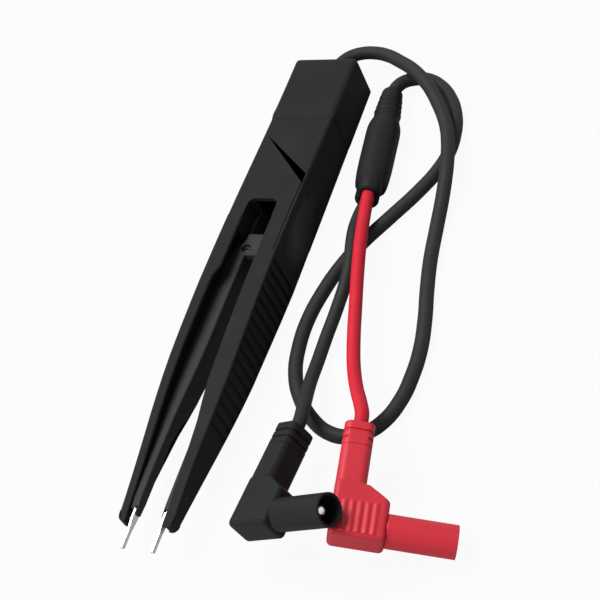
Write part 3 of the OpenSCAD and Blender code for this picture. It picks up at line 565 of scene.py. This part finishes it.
# ---------------------------------------------------------------- tweezers
# In mm: Y runs from the tips to the cord, X to the right, Z up
HINGE_Y = 22.0
ARM_TOP_Y = 21.6
SIDE_X = 11.2
SEAM_Y = 64.3
REAR_Y = 91.75
REAR_H = 15.8
HUMP_H = 18.6
CAP_RIM_IN = 0.2
CAP_RIM_RUN = 2.2
CAP_SIDE_X = 10.6
CAP_TOP_Z = 13.5
GROOVE_X = (9.9, 10.3)
GROOVE_Y = (9, 41)
GROOVE_DEPTH = 0.32


def pull_in_rim(build):
    """The cap's front rim draws in to meet the body's skin."""
    bmesh.ops.bisect_plane(build, geom=build.verts[:] + build.edges[:] + build.faces[:], dist=1e-6,
                           plane_co=(0, (SEAM_Y + CAP_RIM_RUN) * MM, 0), plane_no=(0, 1, 0))
    for vert in build.verts:
        x, y, z = vert.co / MM
        if abs(y - SEAM_Y) < NEAR and abs(x) > CAP_SIDE_X:
            vert.co.x -= math.copysign(CAP_RIM_IN, x) * MM
        if abs(y - SEAM_Y) < NEAR and z > CAP_TOP_Z:
            vert.co.z -= CAP_RIM_IN * MM


def top_z(y):
    """The height of the body's top face: it swells towards the hinge."""
    part = min(max((REAR_Y - y) / REAR_Y, 0.0), 1.0)
    return REAR_H + (HUMP_H - REAR_H) * (1 - math.cos(math.pi * part)) / 2


def edge_groove():
    """The cutter for the fine groove along the top's right edge, as a bmesh in metres."""
    outlines = []
    left, right = GROOVE_X
    for y in range(*GROOVE_Y):
        low, high = top_z(y) - GROOVE_DEPTH, top_z(y) + 1
        corners = ((left, y, low), (right, y, low), (right, y, high), (left, y, high))
        outlines.append([Vector(corner) * MM for corner in corners])
    build = lofted(outlines)
    bmesh.ops.recalc_face_normals(build, faces=build.faces)
    return build


# Middle and half sizes of the hollow in the right side, for the thumb
SIDE_DISH = ((SIDE_X + 1.15, 27, 7.5), (2, 12.5, 8.5))
# Two moulding slits beside the hollow, and two in the left insert
SIDE_SLITS = [((10.7, 32.8, 3.85), (12, 38.2, 4.35)), ((10.7, 33.6, 12.8), (12, 35.5, 13.2))]
INSERT_SLITS = [((-7.0, -60.8, 12.3), (-6.65, -52.6, 14)), ((-7.1, -74.4, 12.4), (-6.6, -73.5, 14))]

# How wide the edges in each box are rounded
BODY_EDGES = [
    ((8, 21, 14), (12, 65, 20), 1.0),        # the top's right edge
    ((-12, 21, 14), (-8, 65, 20), 0.8),      # the top's left edge
    ((-12, 64.2, -1), (12, 64.5, 20), 0.2),  # the seam
    ((-12, 21, -1), (12, 22.2, 20), 0.06),   # where the arms take over
    ((-6, 22, 0), (6, 26.4, 20), 0.4),       # the slot's sides
    ((-6, 26.4, 0), (6, 33, 20), 0.12),      # the slot's end
    ((9.6, 8, 15), (10.6, 43, 19), 0.05),    # the fine groove
    ((10, 32, 3), (11.3, 39, 14), 0.08)]     # the slits
CAP_EDGES = [
    ((8, 66, 13), (12, 91.7, 20), 1.9),      # the top's right edge
    ((-12, 66, 13), (-8, 91.7, 20), 1.0),    # the top's left edge
    ((-12, 91, -1), (12, 92, 20), 1.4),      # around the end
    ((-12, 64.2, -1), (12, 64.5, 20), 0.15)]  # the seam
ARM_EDGES = [
    ((-12, -84, 13), (12, 21, 20), 0.6),     # the top
    ((-12, -72, -1), (12, 6, 20), 0.6),      # the ribbed sides
    ((9.6, 8, 15), (10.6, 22.2, 19), 0.05)]  # the fine groove
INSERT_EDGES = [
    ((-7.4, -75.2, 11), (-6.2, -52, 14), 0.0),    # the slits
    ((-5.7, -90, 9), (-4.4, 10, 12.6), 0.04),     # the left contact's channel
    ((4.4, -90, 9), (5.7, 10, 12.6), 0.04)]       # the right contact's channel

softened("body_shell", "body_half_block", "root", shell_plastic, 0.45, BODY_EDGES,
         cutters=[edge_groove(), box_build(SIDE_SLITS), dish_build(*SIDE_DISH)])
softened("rear_cap", "end_cap", "root", shell_plastic, 0.5, CAP_EDGES, shape=pull_in_rim)
for side in ("left", "right"):
    half = side + "_half"
    groove = [edge_groove(), dish_build(*SIDE_DISH)] if side == "right" else []
    slits = [box_build(INSERT_SLITS)] if side == "left" else []
    softened(side + "_arm", side + "_arm_shell", half, shell_plastic, 0.45, ARM_EDGES,
             cutters=groove, grow=(ARM_TOP_Y, HINGE_Y))
    softened(side + "_insert", side + "_insert_bar", half, insert_plastic, 0.6,
             INSERT_EDGES, cutters=slits)
    softened(side + "_contact", side + "_contact_blade", half, tip_metal, 0.12)
    softened(side + "_terminal_screw", side + "_screw_head", half, terminal_metal,
             0.1)

# ---------------------------------------------------------------- splitter
SPLITTER_AT = Vector((23.2, 84.8, 6))
SPLITTER_TURN = math.radians(6.34)
BOOT_LEN = 13.5
SPLITTER_END = 45.3


def turned(at, yaw, pitch, roll):
    """A frame that is turned about Z, then its own X, then its own Y."""
    return (Matrix.Translation(at) @ Matrix.Rotation(yaw, 4, "Z") @ Matrix.Rotation(pitch, 4, "X")
            @ Matrix.Rotation(roll, 4, "Y"))


# Down the cord's way: local Z runs from the cord's end to the outlets
splitter_axis = turned(SPLITTER_AT, SPLITTER_TURN, 0, 0) @ Matrix.Rotation(math.pi / 2, 4, "X")


def bead_rings_group():
    """A row of ring beads along Z that grow by a step each, as a node group."""
    group = bpy.data.node_groups.new("bead_rings", "GeometryNodeTree")
    for name, kind in (("Count", "NodeSocketInt"), ("Pitch", "NodeSocketFloat"),
                       ("Ring radius", "NodeSocketFloat"), ("Bead radius", "NodeSocketFloat"),
                       ("Growth", "NodeSocketFloat"), ("Material", "NodeSocketMaterial")):
        group.interface.new_socket(name, in_out="INPUT", socket_type=kind)
    group.interface.new_socket("Mesh", in_out="OUTPUT", socket_type="NodeSocketGeometry")
    nodes, links = group.nodes, group.links

    def add(kind, **sockets):
        made = nodes.new(kind)
        for key, value in sockets.items():
            socket = made.inputs[key.replace("_", " ")]
            if isinstance(value, bpy.types.NodeSocket):
                links.new(value, socket)
            else:
                socket.default_value = value
        return made

    given = nodes.new("NodeGroupInput").outputs
    step = add("ShaderNodeCombineXYZ", Z=given["Pitch"]).outputs[0]
    row = add("GeometryNodeMeshLine", Count=given["Count"], Offset=step).outputs[0]
    circle = "GeometryNodeCurvePrimitiveCircle"
    ring = add(circle, Resolution=64, Radius=given["Ring radius"]).outputs[0]
    bead = add(circle, Resolution=14, Radius=given["Bead radius"]).outputs[0]
    tube = add("GeometryNodeCurveToMesh", Curve=ring, Profile_Curve=bead).outputs[0]
    grown = nodes.new("ShaderNodeMath")
    grown.operation = "MULTIPLY_ADD"
    links.new(add("GeometryNodeInputIndex").outputs[0], grown.inputs[0])
    links.new(given["Growth"], grown.inputs[1])
    grown.inputs[2].default_value = 1.0
    beads = add("GeometryNodeInstanceOnPoints", Points=row, Instance=tube,
                Scale=grown.outputs[0]).outputs[0]
    whole = add("GeometryNodeRealizeInstances", Geometry=beads).outputs[0]
    painted = add("GeometryNodeSetMaterial", Geometry=whole, Material=given["Material"]).outputs[0]
    links.new(painted, nodes.new("NodeGroupOutput").inputs[0])
    return group


BEAD_RINGS = bead_rings_group()


def bead_rings(place, count, pitch, ring, bead, growth, material):
    """A mesh of ring beads in a frame, sizes in mm."""
    carrier = bpy.data.objects.new("carrier", bpy.data.meshes.new("carrier"))
    bpy.context.scene.collection.objects.link(carrier)
    rings = carrier.modifiers.new("rings", "NODES")
    rings.node_group = BEAD_RINGS
    values = {"Count": count, "Pitch": pitch, "Ring radius": ring, "Bead radius": bead,
              "Growth": growth, "Material": material}
    for item in BEAD_RINGS.interface.items_tree:
        if item.in_out == "INPUT":
            rings[item.identifier] = values[item.name]
    mesh = evaluated(carrier)
    bpy.data.objects.remove(carrier)
    mesh.transform(place)
    mesh.transform(Matrix.Scale(MM, 4))
    return mesh


# Radius and distance down the axis, in mm, from the cord's end
BOOT_PROFILE = [(0, 0), (2.7, 0), (3.25, 0.25), (3.5, 0.9), (3.7, 3.2), (4.05, 7.5), (4.3, 11),
                (4.4, BOOT_LEN), (0, BOOT_LEN)]
BARREL_PROFILE = [(0, BOOT_LEN), (4.5, BOOT_LEN), (4.75, BOOT_LEN + 0.35), (5.05, 14.8),
                  (5.35, 15.9), (5.52, 17.2), (5.6, 19), (5.6, 31), (5.56, 34), (5.44, 37),
                  (5.22, 39.6), (5.0, 40.9), (4.6, 41.45), (4.0, 41.6), (0, 41.6)]
LOBE_R = 3.9
LOBE_PROFILE = [(0, 32.5), (2.4, 32.5), (3.0, 34.5), (3.5, 37), (3.8, 39.4), (LOBE_R, 41),
                (LOBE_R, SPLITTER_END - 0.9), (LOBE_R - 0.25, SPLITTER_END - 0.3),
                (LOBE_R - 0.8, SPLITTER_END), (2.6, SPLITTER_END), (2.3, SPLITTER_END - 0.5),
                (0, SPLITTER_END - 0.5)]
# Each outlet's place across and above the axis: red, then black
LOBES = ((0.8, 2.0), (-1.2, -1.7))
FIRST_RING = 3.6

boot = mesh_from(revolved(BOOT_PROFILE, splitter_axis, 64), "splitter_boot_skin",
                 black_plug_plastic)
finished("splitter_boot_skin", boot, "root", ("splitter_boot",), smooth=50)
rings = bead_rings(splitter_axis @ Matrix.Translation((0, 0, FIRST_RING)), count=4, pitch=2.15,
                   ring=3.5, bead=0.4, growth=0.052, material=black_plug_plastic)
finished("splitter_boot_rings", rings, "root", smooth=60)

barrel = revolved(BARREL_PROFILE, splitter_axis, 64)
for across, up in LOBES:
    joined(barrel, revolved(LOBE_PROFILE, splitter_axis @ Matrix.Translation((across, up, 0)), 48))
finished("splitter_skin", mesh_from(barrel, "splitter_skin", black_plug_plastic), "root",
         ("splitter_body",), smooth=50)

# ---------------------------------------------------------------- plugs
# Where the pin's line meets the lead's, the turns in degrees, the plastic and the two slots
PLUGS = {"red": (Vector((58.4, -49.8, 14.5)), (10, -1.4, 22.4), red_plug_plastic,
                 "red_rubber", "red_moulding"),
         "black": (Vector((37.6, -51.3, 13.4)), (-2.8, -5.6, -23.4), black_plug_plastic,
                   "black_rubber", "black_moulding")}
FOOT_END = -33
FOOT_ROUNDING = 1.5
# The red collar's lower groove stays open at its sides only
HALF_SLITS = [((-4.5, -4.0, 3.6), (0.9, -3.0, 4.58)), ((-4.5, -4.0, -4.58), (0.9, -3.0, -3.6))]
for colour, (at, turn, plastic, soft_slot, hard_slot) in PLUGS.items():
    place = turned(at, *[math.radians(t) for t in turn])
    remoulded(colour + "_collar", colour + "_collar_skin", "root", plastic, place,
              voxel=0.16, passes=4, filled=HALF_SLITS if colour == "red" else ())
    remoulded(colour + "_housing", colour + "_housing_skin", "root", plastic, place,
              voxel=0.2, passes=6, foot=(FOOT_END, FOOT_ROUNDING))
    softened(colour + "_sheath", colour + "_sheath_skin", "root", plastic, 0.45,
             local=place, segments=5)

# ---------------------------------------------------------------- the rest keeps its CAD shape
PLAIN = ((black_jacket, ("inner_cord", "left_wire", "left_arm_wire", "black_lead_end")),
         (black_plug_plastic, ("cord_bush",)),
         (insert_plastic, ("cable_clamp",)),
         (red_jacket, ("red_lead_end", "right_wire", "right_arm_wire")),
         (pin_metal, ("red_pin", "black_pin", "red_pin_spring", "black_pin_spring")),
         (screw_metal, ("clamp_screws",)),
         (bare_copper, ("red_core", "black_core", "splitter_crimps")))
for material, names in PLAIN:
    for name in names:
        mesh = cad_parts[name].data
        mesh.materials.clear()
        mesh.materials.append(material)

# ---------------------------------------------------------------- floor and light
FLOOR_HALF = 3.0
FLOOR_GREY = 0.42
# How much of the floor glows white to the camera, and to mirror and see-through rays
CAMERA_GLOW = 0.94
MIRROR_GLOW = 0.06
WORLD_LIGHT = 0.14
# Name, place, size and power of each lamp
LAMPS = (("key", (-0.24, 0.08, 0.88), 0.45, 8.6), ("fill", (-0.3, -0.75, 0.35), 0.4, 2.8))
LAMPS_AIM = Vector((0.03, 0, 0))


def make_floor():
    """A wide pale floor that looks white to the camera and keeps the object's shadow."""
    h = FLOOR_HALF
    mesh = bpy.data.meshes.new("floor")
    mesh.from_pydata([(-h, -h, 0), (h, -h, 0), (h, h, 0), (-h, h, 0)], [], [(0, 1, 2, 3)])
    floor = bpy.data.objects.new("floor", mesh)
    bpy.context.scene.collection.objects.link(floor)
    p = Paint("floor_white")
    p.set(Base_Color=(FLOOR_GREY, FLOOR_GREY, FLOOR_GREY, 1.0))
    p.set(Roughness=0.9)
    glow = p.node("ShaderNodeEmission", None, {"Color": (1.0, 1.0, 1.0, 1.0), "Strength": 1.0})
    camera = p.node("ShaderNodeLightPath", output=0)
    glossy = p.node("ShaderNodeLightPath", output=3)
    through = p.node("ShaderNodeLightPath", output=6)
    share = camera * CAMERA_GLOW + (glossy + through) * MIRROR_GLOW
    both = p.node("ShaderNodeMixShader", None,
                  {0: share, 1: Term(p, p.shader.outputs[0]), 2: glow})
    p.feed(p.tree.nodes["Material Output"].inputs["Surface"], both)
    mesh.materials.append(p.material)


def make_lamp(name, at, size, power):
    data = bpy.data.lights.new(name, "AREA")
    data.shape = "SQUARE"
    data.size = size
    data.energy = power
    lamp = bpy.data.objects.new(name, data)
    lamp.location = at
    lamp.rotation_euler = (LAMPS_AIM - Vector(at)).to_track_quat("-Z", "Y").to_euler()
    bpy.context.scene.collection.objects.link(lamp)


def make_world():
    """A white world at full strength where it is seen or mirrored, and dim as a light."""
    world = bpy.data.worlds.new("studio")
    world.use_nodes = True
    tree = world.node_tree
    back = tree.nodes["Background"]
    path = tree.nodes.new("ShaderNodeLightPath")
    pick = tree.nodes.new("ShaderNodeMapRange")
    pick.inputs[3].default_value = WORLD_LIGHT
    pick.inputs[4].default_value = 1.0
    seen = path.outputs["Is Camera Ray"]
    for ray in ("Is Glossy Ray", "Is Transmission Ray"):
        add = tree.nodes.new("ShaderNodeMath")
        tree.links.new(seen, add.inputs[0])
        tree.links.new(path.outputs[ray], add.inputs[1])
        seen = add.outputs[0]
    tree.links.new(seen, pick.inputs[0])
    back.inputs["Color"].default_value = (1.0, 1.0, 1.0, 1.0)
    tree.links.new(pick.outputs[0], back.inputs["Strength"])
    bpy.context.scene.world = world


make_floor()
make_world()
for lamp in LAMPS:
    make_lamp(*lamp)
bpy.context.scene.view_settings.view_transform = "Standard"
